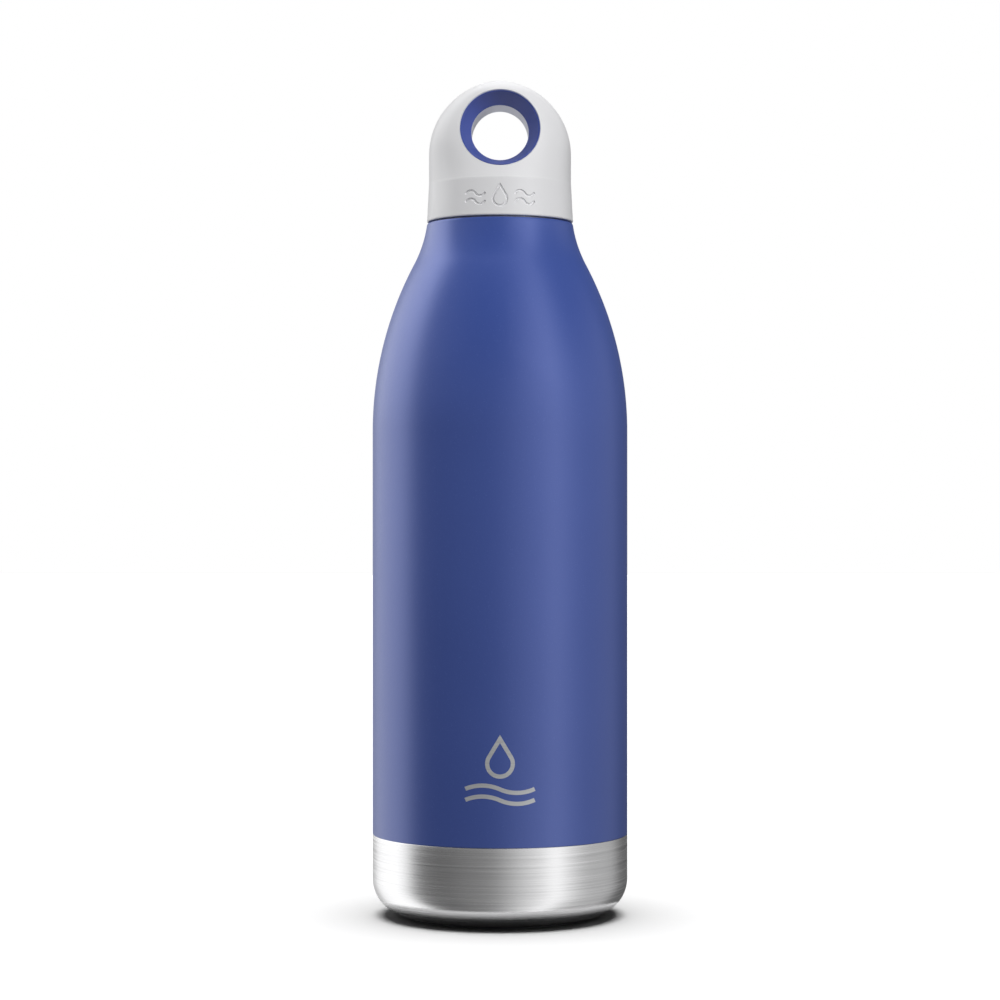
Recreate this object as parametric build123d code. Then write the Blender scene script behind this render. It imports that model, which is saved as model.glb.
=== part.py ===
"""Insulated steel water bottle with a screw cap that ends in a carrying loop.

Millimetres. +Z is up, the origin is the centre of the foot on the ground, and the loop's
hole runs along Y, so the front of the bottle faces -Y.
"""
import os
from math import asin, cos, degrees, pi, radians, sin, sqrt

from build123d import *

# Outer body
body_r = 36.5               # fits a bicycle bottle cage, which holds 73 to 74 mm
seam_z = 23.5               # painted shell above, bare steel base below
shoulder_z = 138.6          # the straight wall ends here
shoulder_arc_r = 102.0      # convex shoulder
shoulder_turn_z = 186.2     # convex arc hands over to the concave one
neck_arc_r = 36.0           # concave sweep into the neck
neck_end_deg = 8.0          # slope left at the top of the painted shell
shell_t = 0.5
neck_edge_r = 0.35

# Base
corner_r = 10.3
base_z = 0.5                # underside of the steel, held up by the foot ring
base_t = 0.6
recess_r = 24.6
recess_z = 3.0              # underside of the recessed floor
tip_hole_r = 1.2            # the vacuum is drawn through this hole
bead_r = 2.8
bead_drop = 0.45
cover_r = 24.3
cover_t = 0.5
cover_z = 1.9
cover_dish = 0.5            # the cover's middle is pressed up by this much
cover_flat_r = 17.0
adhesive_inner_r = 18.5
adhesive_outer_r = 23.5
foot_inner_r = 24.75
foot_outer_r = 26.9
foot_chamfer = 0.12

# Getter, inside the vacuum
getter_x = 12.0
getter_r = 4.5
getter_h = 2.4
clip_wall = 0.4

# Inner liner
liner_r = 32.6
liner_t = 0.4
liner_floor_z = 8.6
liner_corner_r = 7.0
liner_seam_z = 19.0
liner_shoulder_z = 136.0
liner_arc_r = 98.0
liner_turn_z = 181.0
liner_neck_arc_r = 28.0
foil_t = 0.15
foil_low_z = 24.0
foil_high_z = 132.0

# Mouth and its thread
mouth_r = 17.3              # thread root
mouth_outer_r = 18.55
rim_z = 205.4
rim_round = 0.35
thread_pitch = 4.0
mouth_crest_r = 16.3
mouth_thread_z = 196.4      # ridge centre where the thread starts, on +X
mouth_thread_h = 6.4
plug_r = 15.9               # plug thread root
plug_crest_r = 17.05
plug_thread_z = 190.4       # half a pitch out of step with the mouth's ridge
plug_thread_h = 10.0
ridge_base = 2.45           # ridge width at its root
ridge_top = 1.15            # ridge width at its crest
ridge_bury = 0.4            # how far a ridge runs into its wall

# Gasket and stopper
gasket_inner_r = 16.2
gasket_outer_r = 18.4
gasket_t = 1.2
gasket_round = 0.3
flange_r = 19.0
flange_h = 2.8
plug_bottom_z = 188.5
plug_wall = 1.6
disc_t = 1.6
disc_round = 0.5

# Cap
cap_bottom_z = 198.4
cap_bottom_r = 20.95
crease_z = 209.2            # the band ends and the loop begins
band_top_r = 20.4
loop_r = 20.35
skirt_r = 19.0              # inside of the skirt
skirt_round = 0.5
arch_z = 217.7              # centre of the round top
arch_end_deg = 86.0
face_slope = 0.30           # how far each face leans in per unit of height
loop_root = 1.2             # how far the loop runs down inside the band
crown_round = 6.0
section_points = 20
arch_steps = 9
square_gain = 1.3           # how much squarer the sections are at the top than at the crease
square_onset = 1.5          # above 1, most of the squaring comes near the top
low_sections = 3            # loft sections between the crease and the arch

# Carrying hole
hole_r = 8.15
hole_z = 223.1
bezel_r = 11.4
bezel_squash = 0.977        # a bezel is a touch lower than it is wide
bezel_z = 223.65
bezel_depth = 7.4
bezel_rim = 0.3             # width of the bezel's rim at the face
bezel_wall = 0.8            # its wall at the inner lip
cutter_overrun = 5.0        # cutting tools run this far past the faces they cut

# Line decoration pressed into the front of the cap's band
band_wave_w = 5.2
band_wave_h = 1.5
band_wave_gap = 2.3
band_drop_h = 6.6
band_line_w = 0.55
band_depth = 0.35
band_mark_z = 204.1
band_mark_space = 1.0       # between the drop and the waves beside it
band_wave_drop = 0.6        # the waves sit this much below the drop's middle
drop_round_share = 0.34     # the drop's round radius, as a share of its height

same = 0.01                 # positions and radii this close are the same edge

cap_top_z = arch_z + loop_r
liner_cx = liner_r - liner_arc_r
liner_deg = degrees(asin((liner_turn_z - liner_shoulder_z) / liner_arc_r))
liner_neck_cx = liner_cx + (liner_arc_r + liner_neck_arc_r) * cos(radians(liner_deg))
liner_top_z = liner_shoulder_z + (liner_arc_r + liner_neck_arc_r) * sin(radians(liner_deg))
shoulder_cx = body_r - shoulder_arc_r
shoulder_deg = degrees(asin((shoulder_turn_z - shoulder_z) / shoulder_arc_r))
neck_cx = shoulder_cx + (shoulder_arc_r + neck_arc_r) * cos(radians(shoulder_deg))
neck_cz = shoulder_z + (shoulder_arc_r + neck_arc_r) * sin(radians(shoulder_deg))
ledge_z = neck_cz - neck_arc_r * sin(radians(neck_end_deg))


def side_arc(centre_x, centre_z, radius, start_deg, end_deg):
    """Arc in the XZ plane about a centre, angles measured from +X towards +Z."""
    middle = (start_deg + end_deg) / 2
    ends = [(centre_x + radius * cos(radians(a)), centre_z + radius * sin(radians(a)))
            for a in (start_deg, middle, end_deg)]
    return ThreePointArc(*[(x, 0, z) for x, z in ends])


def side_line(*points):
    return Polyline(*[(x, 0, z) for x, z in points])


def turned(*edges):
    """Solid of revolution from a closed chain of edges in the XZ plane."""
    return revolve(make_face(Wire.combine([e for edge in edges for e in edge.edges()])[0]), Axis.Z)


def tube(outer, inner, low, high):
    return turned(side_line((inner, low), (outer, low), (outer, high), (inner, high), (inner, low)))


def disc(radius, low, high):
    return Pos(0, 0, low) * extrude(Circle(radius), high - low)


def helix_ridge(root_r, crest_r, start_z, height):
    """Right-hand ridge of a coarse thread, buried a little in the wall it stands on."""
    outward = 1 if crest_r > root_r else -1
    buried_r = root_r - outward * ridge_bury
    path = Helix(thread_pitch, height, root_r, center=(0, 0, start_z))
    corners = [(buried_r, start_z - ridge_base / 2), (crest_r, start_z - ridge_top / 2),
               (crest_r, start_z + ridge_top / 2), (buried_r, start_z + ridge_base / 2)]
    profile = make_face(Polyline(*[(x, 0, z) for x, z in corners + corners[:1]]))
    return sweep(profile, path=path, is_frenet=True)


def neck_point(offset, angle_deg):
    """Point on the neck's concave arc, moved inwards by the wall thickness given."""
    radius = neck_arc_r + offset
    return (neck_cx - radius * cos(radians(angle_deg)), neck_cz - radius * sin(radians(angle_deg)))


def outer_shell():
    inner_deg = degrees(asin((neck_cz - ledge_z + shell_t) / (neck_arc_r + shell_t)))
    top = neck_point(0, neck_end_deg)
    top_inner = neck_point(shell_t, inner_deg)
    inner_r = body_r - shell_t
    shell = turned(
        side_line((body_r, seam_z), (body_r, shoulder_z)),
        side_arc(shoulder_cx, shoulder_z, shoulder_arc_r, 0, shoulder_deg),
        side_arc(neck_cx, neck_cz, neck_arc_r, 180 + shoulder_deg, 180 + neck_end_deg),
        side_line(top, (mouth_outer_r, ledge_z), (mouth_outer_r, ledge_z - shell_t), top_inner),
        side_arc(neck_cx, neck_cz, neck_arc_r + shell_t, 180 + inner_deg, 180 + shoulder_deg),
        side_arc(shoulder_cx, shoulder_z, shoulder_arc_r - shell_t, shoulder_deg, 0),
        side_line((inner_r, shoulder_z), (inner_r, seam_z), (body_r, seam_z)),
    )
    edge = shell.edges().filter_by(GeomType.CIRCLE).filter_by(
        lambda e: abs(e.center().Z - ledge_z) < 0.01 and abs(e.radius - top[0]) < same)
    return fillet(edge, neck_edge_r)


def base_cup():
    """Bare steel bottom: wall, rounded corner, foot and a recessed floor with the vacuum tip."""
    foot_r = body_r - corner_r
    centre_z = base_z + corner_r
    inner_corner = corner_r - base_t
    return turned(
        side_line((tip_hole_r, recess_z), (recess_r, recess_z), (recess_r, base_z), (foot_r, base_z)),
        side_arc(foot_r, centre_z, corner_r, -90, 0),
        side_line((body_r, centre_z), (body_r, seam_z), (body_r - base_t, seam_z),
                  (body_r - base_t, centre_z)),
        side_arc(foot_r, centre_z, inner_corner, 0, -90),
        side_line((foot_r, base_z + base_t), (recess_r + base_t, base_z + base_t),
                  (recess_r + base_t, recess_z + base_t), (tip_hole_r, recess_z + base_t),
                  (tip_hole_r, recess_z)),
    )


def tip_seal():
    """Glass bead melted into the vacuum tip."""
    stem = disc(tip_hole_r, recess_z, recess_z + base_t)
    cap_r = (bead_r ** 2 + bead_drop ** 2) / (2 * bead_drop)
    half_deg = degrees(asin(bead_r / cap_r))
    drop = turned(
        side_arc(0, recess_z - bead_drop + cap_r, cap_r, -90, -90 + half_deg),
        side_line((bead_r, recess_z), (0, recess_z), (0, recess_z - bead_drop)),
    )
    return stem + drop


def base_cover():
    """Thin steel disc that hides the tip, with its middle pressed up a little."""
    low = cover_z
    high = cover_z + cover_t
    slope_r = cover_flat_r - 2 * cover_dish
    return turned(side_line(
        (0, low - cover_dish), (slope_r, low - cover_dish), (cover_flat_r, low), (cover_r, low),
        (cover_r, high), (cover_flat_r, high), (slope_r, high - cover_dish),
        (0, high - cover_dish), (0, low - cover_dish)))


def cover_adhesive():
    return tube(adhesive_outer_r, adhesive_inner_r, cover_z + cover_t, recess_z)


def foot_ring():
    """Silicone ring the bottle stands on, bonded under the steel foot."""
    ring = tube(foot_outer_r, foot_inner_r, 0, base_z)
    low_edges = ring.edges().filter_by(lambda e: abs(e.center().Z) < same)
    return chamfer(low_edges, foot_chamfer)


def getter_clip():
    floor_z = recess_z + base_t
    cup = disc(getter_r + clip_wall, floor_z, floor_z + getter_h)
    cup -= disc(getter_r, floor_z + clip_wall, floor_z + getter_h)
    return Pos(getter_x, 0, 0) * cup


def getter():
    floor_z = recess_z + base_t + clip_wall
    pellet = disc(getter_r, floor_z, floor_z + getter_h - 2 * clip_wall)
    return Pos(getter_x, 0, 0) * pellet


def liner():
    """Inner vessel wall, from its base seam up to the mouth ring."""
    top_r = liner_neck_cx - liner_neck_arc_r
    inner_r = liner_r - liner_t
    return turned(
        side_line((liner_r, liner_seam_z), (liner_r, liner_shoulder_z)),
        side_arc(liner_cx, liner_shoulder_z, liner_arc_r, 0, liner_deg),
        side_arc(liner_neck_cx, liner_top_z, liner_neck_arc_r, 180 + liner_deg, 180),
        side_line((top_r, liner_top_z), (top_r - liner_t, liner_top_z)),
        side_arc(liner_neck_cx, liner_top_z, liner_neck_arc_r + liner_t, 180, 180 + liner_deg),
        side_arc(liner_cx, liner_shoulder_z, liner_arc_r - liner_t, liner_deg, 0),
        side_line((inner_r, liner_shoulder_z), (inner_r, liner_seam_z), (liner_r, liner_seam_z)),
    )


def liner_bottom():
    corner_x = liner_r - liner_corner_r
    corner_z = liner_floor_z + liner_corner_r
    inner_corner = liner_corner_r - liner_t
    inner_r = liner_r - liner_t
    return turned(
        side_line((0, liner_floor_z), (corner_x, liner_floor_z)),
        side_arc(corner_x, corner_z, liner_corner_r, -90, 0),
        side_line((liner_r, corner_z), (liner_r, liner_seam_z), (inner_r, liner_seam_z),
                  (inner_r, corner_z)),
        side_arc(corner_x, corner_z, inner_corner, 0, -90),
        side_line((corner_x, liner_floor_z + liner_t), (0, liner_floor_z + liner_t),
                  (0, liner_floor_z)),
    )


def foil_wrap():
    return tube(liner_r + foil_t, liner_r, foil_low_z, foil_high_z)


def foil_disc():
    return disc(liner_r - liner_corner_r, liner_floor_z - foil_t, liner_floor_z)


def mouth_ring():
    """Steel mouth that joins liner and shell, with the cap's thread rolled inside."""
    ring = tube(mouth_outer_r, mouth_r, liner_top_z, rim_z)
    rim = ring.edges().filter_by(lambda e: abs(e.center().Z - rim_z) < same)
    ring = fillet(rim, rim_round)
    return ring + helix_ridge(mouth_r, mouth_crest_r, mouth_thread_z, mouth_thread_h)


def gasket():
    ring = tube(gasket_outer_r, gasket_inner_r, rim_z, rim_z + gasket_t)
    outer = ring.edges().filter_by(GeomType.CIRCLE).filter_by(
        lambda e: abs(e.radius - gasket_outer_r) < same)
    return fillet(outer, gasket_round)


def stopper():
    """Hollow threaded plug with the flange that carries the gasket."""
    flange_z = rim_z + gasket_t
    roof_z = flange_z + plug_wall
    plug = disc(flange_r, flange_z, flange_z + flange_h) + disc(plug_r, plug_bottom_z, flange_z)
    plug += helix_ridge(plug_r, plug_crest_r, plug_thread_z, plug_thread_h)
    return plug - disc(plug_r - plug_wall, plug_bottom_z, roof_z)


def stopper_foam():
    return disc(plug_r - plug_wall, plug_bottom_z + disc_t, rim_z + gasket_t + plug_wall)


def stopper_disc():
    """Lid that closes the plug from below, its rim rounded."""
    lid = disc(plug_r - plug_wall, plug_bottom_z, plug_bottom_z + disc_t)
    low_edge = lid.edges().filter_by(lambda e: abs(e.center().Z - plug_bottom_z) < same)
    return fillet(low_edge, disc_round)


def loop_half_width(z):
    rise = max(0.0, z - arch_z)
    return sqrt(max(0.0, loop_r ** 2 - rise ** 2))


def loop_half_depth(z):
    """Leaning faces that round over into the crown."""
    lean = sqrt(1 + face_slope ** 2)
    round_z = cap_top_z - crown_round
    round_y = loop_r - (round_z - crease_z) * face_slope - crown_round * lean
    tangent_z = round_z + crown_round * face_slope / lean
    if z <= tangent_z:
        return loop_r - max(0.0, z - crease_z) * face_slope
    return round_y + sqrt(max(0.0, crown_round ** 2 - (z - round_z) ** 2))


def loop_section(z):
    """Rounded cross-section: a circle at the crease, squarer towards the crown."""
    half_x = loop_half_width(z)
    half_y = loop_half_depth(z)
    climb = max(0.0, z - crease_z) / (cap_top_z - crease_z)
    power = 2 + square_gain * climb ** square_onset
    points = []
    for step in range(section_points):
        angle = 2 * pi * step / section_points
        swell = (abs(cos(angle)) ** power + abs(sin(angle)) ** power) ** (-1 / power)
        points.append((half_x * cos(angle) * swell, half_y * sin(angle) * swell, z))
    return make_face(Spline(*points, periodic=True))


def loop_body():
    low = [crease_z - loop_root, crease_z - loop_root / 2]
    low += [crease_z + (arch_z - crease_z) * step / low_sections for step in range(low_sections)]
    arch_angles = [arch_end_deg * sin(pi / 2 * step / arch_steps) for step in range(arch_steps + 1)]
    high = [arch_z + loop_r * sin(radians(angle)) for angle in arch_angles]
    return loft([loop_section(z) for z in low + high])


def band_body():
    return Pos(0, 0, cap_bottom_z) * Solid.make_cone(cap_bottom_r, band_top_r, crease_z - cap_bottom_z)


def face_plane(side, depth_in):
    """Plane parallel to a leaning face, moved inwards along Y; side is -1 in front."""
    z = bezel_z + (hole_z - bezel_z) * depth_in / bezel_depth
    y = loop_half_depth(z) - depth_in
    return Plane(origin=(0, side * y, z), x_dir=(1, 0, 0), z_dir=(0, side, face_slope))


def bezel_cone(side, face_r, lip_r):
    """Funnel between the face and its inner lip, carried on past the face."""
    stretch = sqrt(1 + face_slope ** 2)
    face_h = face_r * bezel_squash
    carry = cutter_overrun / bezel_depth
    outer_r = face_r + (face_r - lip_r) * carry
    outer_h = face_h + (face_h - lip_r) * carry
    outer = face_plane(side, -cutter_overrun) * Ellipse(outer_r, outer_h * stretch)
    inner = face_plane(side, bezel_depth) * Ellipse(lip_r, lip_r * stretch)
    return loft([inner, outer])


def bezel_seat(side):
    return bezel_cone(side, bezel_r, hole_r + bezel_wall)


def bezel(side):
    """Blue funnel pressed into one face of the loop."""
    return (bezel_seat(side) - bezel_cone(side, bezel_r - bezel_rim, hole_r)) & loop_body()


def cap_shell():
    skirt = band_body()
    low_edge = skirt.edges().filter_by(lambda e: abs(e.center().Z - cap_bottom_z) < same)
    shell = fillet(low_edge, skirt_round) + loop_body()
    shell -= disc(skirt_r, cap_bottom_z - cutter_overrun, rim_z + gasket_t + flange_h)
    shell -= Pos(0, 0, hole_z) * (Rot(90, 0, 0) * Cylinder(hole_r, 2 * cap_bottom_r))
    for side in (-1, 1):
        shell -= bezel_seat(side)
    band_h = crease_z - cap_bottom_z
    skin = Solid.make_cone(cap_bottom_r + cutter_overrun, band_top_r + cutter_overrun, band_h)
    skin -= Solid.make_cone(cap_bottom_r - band_depth, band_top_r - band_depth, band_h)
    return shell - (mark_prism(band_mark(), cap_bottom_r) & (Pos(0, 0, cap_bottom_z) * skin))


def mark_prism(sketch, radius):
    """Line drawing on the front, given depth through the front wall only."""
    front = Plane(origin=(0, -radius - cutter_overrun, 0), x_dir=(1, 0, 0), z_dir=(0, -1, 0))
    return extrude(front * sketch, -radius)


def drop_outline(height, centre_z, line_w):
    """Plain water drop: a round bottom drawn up to a point."""
    round_r = height * drop_round_share
    low_z = centre_z - height / 2 + round_r
    tip_z = centre_z + height / 2
    reach = tip_z - low_z
    touch = asin(round_r / reach)
    left = (-round_r * cos(touch), low_z + round_r * sin(touch))
    right = (round_r * cos(touch), low_z + round_r * sin(touch))
    bowl = ThreePointArc(left, (0, low_z - round_r), right)
    outline = Wire.combine([bowl, Line(right, (0, tip_z)), Line((0, tip_z), left)])[0]
    face = make_face(outline)
    return face - offset(face, -line_w, kind=Kind.INTERSECTION)


def wave_line(width, height, centre_x, centre_z, line_w):
    """Two shallow arcs that meet, drawn as one stroke."""
    left = centre_x - width / 2
    rise = height / 2
    first = ThreePointArc((left, centre_z), (left + width / 4, centre_z + rise), (centre_x, centre_z))
    second = ThreePointArc((centre_x, centre_z), (left + width * 0.75, centre_z - rise),
                           (left + width, centre_z))
    return trace([first, second], line_w)


def band_mark():
    mark = drop_outline(band_drop_h, band_mark_z, band_line_w)
    offset_x = band_wave_w / 2 + band_drop_h / 2 + band_mark_space
    for side in (-1, 1):
        for row in (-0.5, 0.5):
            z = band_mark_z + row * band_wave_gap - band_wave_drop
            mark += wave_line(band_wave_w, band_wave_h, side * offset_x, z, band_line_w)
    return mark


nodes = {
    "outer_shell": outer_shell(),
    "base_cup": base_cup(),
    "tip_seal": tip_seal(),
    "cover_adhesive": cover_adhesive(),
    "base_cover": base_cover(),
    "foot_ring": foot_ring(),
    "getter_clip": getter_clip(),
    "getter": getter(),
    "liner": liner(),
    "liner_bottom": liner_bottom(),
    "foil_wrap": foil_wrap(),
    "foil_disc": foil_disc(),
    "mouth_ring": mouth_ring(),
    "gasket": gasket(),
    "stopper": stopper(),
    "stopper_foam": stopper_foam(),
    "stopper_disc": stopper_disc(),
    "cap_shell": cap_shell(),
    "front_bezel": bezel(-1),
    "rear_bezel": bezel(1),
}

os.makedirs("parts", exist_ok=True)
for name, shape in nodes.items():
    export_step(shape, f"parts/{name}.step")
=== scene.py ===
"""Insulated steel bottle with a looped screw cap, on a pale studio floor.

Lengths in the shape code are millimetres in the part's own frame and become metres in make_mesh.
"""
import math

import bpy
import bmesh
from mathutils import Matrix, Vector

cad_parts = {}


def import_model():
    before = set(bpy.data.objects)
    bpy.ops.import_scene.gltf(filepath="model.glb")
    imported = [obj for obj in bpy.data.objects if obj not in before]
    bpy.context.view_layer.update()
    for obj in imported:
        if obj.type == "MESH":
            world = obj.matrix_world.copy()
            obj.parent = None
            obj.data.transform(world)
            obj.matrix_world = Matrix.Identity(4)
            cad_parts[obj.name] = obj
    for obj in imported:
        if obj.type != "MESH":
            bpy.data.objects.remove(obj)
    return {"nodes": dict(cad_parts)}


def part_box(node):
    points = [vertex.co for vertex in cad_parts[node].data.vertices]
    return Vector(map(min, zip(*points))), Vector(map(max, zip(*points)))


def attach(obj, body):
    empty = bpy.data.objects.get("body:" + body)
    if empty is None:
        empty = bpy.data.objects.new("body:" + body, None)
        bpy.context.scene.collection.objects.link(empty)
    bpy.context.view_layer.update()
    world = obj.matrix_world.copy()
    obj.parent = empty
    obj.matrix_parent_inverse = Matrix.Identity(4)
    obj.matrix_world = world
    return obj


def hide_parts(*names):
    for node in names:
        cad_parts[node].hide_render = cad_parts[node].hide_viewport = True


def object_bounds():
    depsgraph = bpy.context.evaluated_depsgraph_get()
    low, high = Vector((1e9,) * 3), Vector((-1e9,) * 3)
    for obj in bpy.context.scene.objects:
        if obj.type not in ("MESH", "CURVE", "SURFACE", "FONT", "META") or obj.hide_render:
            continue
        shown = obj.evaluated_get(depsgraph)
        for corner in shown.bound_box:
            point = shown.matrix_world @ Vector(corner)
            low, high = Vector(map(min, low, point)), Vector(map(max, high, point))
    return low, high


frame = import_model()
cad_low, cad_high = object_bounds()

MM = 0.001
WELD_DIST = 2e-7            # metres
SLIVER_DIST = 5e-7          # metres


def cad_box(node):
    """A node's lowest and highest corners, in millimetres."""
    low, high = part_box(node)
    return Vector(low) / MM, Vector(high) / MM


_, shell_high = cad_box("outer_shell")
cup_low, cup_high = cad_box("base_cup")
cap_low, cap_high = cad_box("cap_shell")
_, mouth_high = cad_box("mouth_ring")

# Outer body
BODY_R = shell_high.x
SEAM_Z = cup_high.z
SHOULDER_Z = 138.6          # where the straight wall ends
SHOULDER_ARC = 102.0        # radius
SHOULDER_TURN = 186.2       # height at which the shoulder turns into the hollow neck
NECK_ARC = 36.0             # radius
LEDGE_Z = shell_high.z
MOUTH_R = mouth_high.x
SHELL_T = 0.5
LIP_R = 0.35                # rounding of the ledge's outer corner
SKIN_SINK = 0.012           # paint sits this far inside, so that the bare mark is proud of it
TURN_STEPS = 256

# Base
CORNER_R = 10.3
BASE_Z = cup_low.z
BASE_T = 0.6
RECESS_R = 24.6
RECESS_Z = 3.0
BEND_R = 0.5                # rounding of the recess's two corners
TIP_HOLE_R = 1.2
EDGE_R = 0.12

# Cap
CAP_TOP = cap_high.z
CAP_LOW = cap_low.z
CAP_LOW_R = 20.95
BAND_TOP_R = 20.375
CREASE_Z = 209.2
LOOP_R = 20.35
ARCH_Z = CAP_TOP - LOOP_R
CREASE_R = 20.36            # radius of the fine step between band and loop
CREASE_HALF_H = 0.03
CREASE_EASE = 0.12          # height over which the surface runs into the step
SKIRT_R = 19.0
SKIRT_ROUND = 0.5
SKIRT_INNER_ROUND = 0.3
ROOF_Z = 209.4
ROOF_ROUND = 0.4
FACE_SLOPE = 0.30           # how far the loop's faces lean in for each millimetre up
CROWN_R = 6.0
SQUARE_GAIN = 1.3           # how much squarer the loop's section is at the top than at the crease
SQUARE_POWER = 1.5          # how late in the climb it gets squarer
CAP_SHARP_DEG = 32.0

# Carrying hole
HOLE_R = 8.15
HOLE_Z = 223.1
BEZEL_R = 11.4
BEZEL_SQUASH = 0.977        # a bezel is a touch lower than it is wide
BEZEL_Z = 223.65
BEZEL_DEPTH = 7.4
BEZEL_RIM = 0.3
BEZEL_WALL = 0.8
BEZEL_PLAY = 0.02           # how much smaller than its seat a bezel is
RIM_SINK = 0.02             # depth of the rim below the face, as a share of the funnel
RIM_ROUND = 0.03            # how much deeper the rim's edges are than its middle, likewise
SEAT_GAP = 0.22             # the seat's mouth is wider than the bezel, which leaves a fine groove
RING_STEPS = 192

# Drop-and-wave decoration: pressed into the cap's band as in the CAD, and bare metal on the body
DROP_ROUNDNESS = 0.34       # radius of the drop's round end, as a share of its height
BAND_LINE = 0.55
BAND_WALL = 0.10            # width over which a pressed line goes down
BAND_DEPTH = 0.35
BAND_DROP_H = 6.6
BAND_MARK_Z = 204.1
BAND_WAVE = (5.2, 1.5, 2.3)     # width, height, gap between the two lines
BAND_WAVE_SPACE = 1.0           # extra room between drop and waves
BAND_WAVE_SINK = 0.6            # the waves lie this far below the drop's middle
BAND_MARK_HALF_W = 10.6         # limits of the decorated stretch
BAND_MARK_HALF_H = 3.9
ETCH_LINE = 1.15
ETCH_DEPTH = 0.06
ETCH_DROP_H = 12.0
ETCH_DROP_Z = 48.6
ETCH_WAVE = (19.0, 2.0, 3.0)    # likewise
ETCH_WAVE_Z = 38.2


# ---------------------------------------------------------------- mesh helpers

def make_mesh(name, verts, faces, sharp_deg=35.0):
    """Smooth-shaded object from millimetre coordinates, with doubles welded."""
    mesh = bpy.data.meshes.new(name)
    mesh.from_pydata([(x * MM, y * MM, z * MM) for x, y, z in verts], [], faces)
    bm = bmesh.new()
    bm.from_mesh(mesh)
    bmesh.ops.remove_doubles(bm, verts=bm.verts, dist=WELD_DIST)
    bmesh.ops.recalc_face_normals(bm, faces=bm.faces)
    bm.to_mesh(mesh)
    bm.free()
    mesh.shade_smooth()
    mesh.set_sharp_from_angle(angle=math.radians(sharp_deg))
    obj = bpy.data.objects.new(name, mesh)
    bpy.context.scene.collection.objects.link(obj)
    return obj


def arc(cx, cz, radius, start_deg, end_deg, steps):
    """Points on an arc in the (r, z) half plane."""
    angles = [math.radians(start_deg + (end_deg - start_deg) * i / steps) for i in range(steps + 1)]
    return [(cx + radius * math.cos(a), cz + radius * math.sin(a)) for a in angles]


def line(start, end, steps):
    """Points on a straight line, with both its ends."""
    return [(start[0] + (end[0] - start[0]) * i / steps, start[1] + (end[1] - start[1]) * i / steps)
            for i in range(steps + 1)]


def lathe(name, profile, closed=True, steps=TURN_STEPS):
    """Turned solid. A closed profile is a ring; an open one starts and ends on the axis."""
    verts = []
    rows = []
    for r, z in profile:
        if r < 1e-6:
            rows.append([len(verts)] * steps)
            verts.append((0.0, 0.0, z))
        else:
            rows.append(list(range(len(verts), len(verts) + steps)))
            verts += [(r * math.cos(2 * math.pi * k / steps), r * math.sin(2 * math.pi * k / steps), z)
                      for k in range(steps)]
    faces = []
    pairs = list(zip(rows, rows[1:]))
    if closed:
        pairs.append((rows[-1], rows[0]))
    for low, high in pairs:
        for k in range(steps):
            n = (k + 1) % steps
            corners = []
            for v in (low[k], low[n], high[n], high[k]):
                if v not in corners:
                    corners.append(v)
            if len(corners) > 2:
                faces.append(corners)
    return make_mesh(name, verts, faces)


# ---------------------------------------------------------------- body

def outer_shell():
    """Painted shell: straight wall, long convex shoulder, concave neck and ledge."""
    paint_r = BODY_R - SKIN_SINK
    cx = BODY_R - SHOULDER_ARC
    turn = math.degrees(math.asin((SHOULDER_TURN - SHOULDER_Z) / SHOULDER_ARC))
    neck_x = cx + (SHOULDER_ARC + NECK_ARC) * math.cos(math.radians(turn))
    neck_z = SHOULDER_Z + (SHOULDER_ARC + NECK_ARC) * math.sin(math.radians(turn))
    end = math.degrees(math.asin((neck_z - LEDGE_Z) / NECK_ARC))
    top_r = neck_x - NECK_ARC * math.cos(math.radians(end))
    inner = NECK_ARC + SHELL_T
    inner_end = math.degrees(math.asin((neck_z - LEDGE_Z + SHELL_T) / inner))
    outer = arc(paint_r - EDGE_R, SEAM_Z + EDGE_R, EDGE_R, -90, 0, 4)
    outer += line((paint_r, SEAM_Z + 0.5), (paint_r, SHOULDER_Z), 48)
    outer += arc(cx - SKIN_SINK, SHOULDER_Z, SHOULDER_ARC, 0.4, turn, 80)
    outer += arc(neck_x - SKIN_SINK, neck_z, NECK_ARC, 180 + turn - 0.6, 180 + end + 0.6, 40)
    outer += arc(top_r - LIP_R, LEDGE_Z - LIP_R, LIP_R, 6, 90, 8)
    outer += line((top_r - LIP_R - 0.1, LEDGE_Z), (MOUTH_R, LEDGE_Z), 4)
    under_ledge = neck_x - inner * math.cos(math.radians(inner_end))
    back = line((MOUTH_R, LEDGE_Z - SHELL_T), (under_ledge, LEDGE_Z - SHELL_T), 3)
    back += arc(neck_x, neck_z, inner, 180 + inner_end, 180 + turn, 30)
    back += arc(cx, SHOULDER_Z, SHOULDER_ARC - SHELL_T, turn, 0, 50)
    back += [(BODY_R - SHELL_T, SEAM_Z)]
    return lathe("shell_painted", outer + back)


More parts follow.
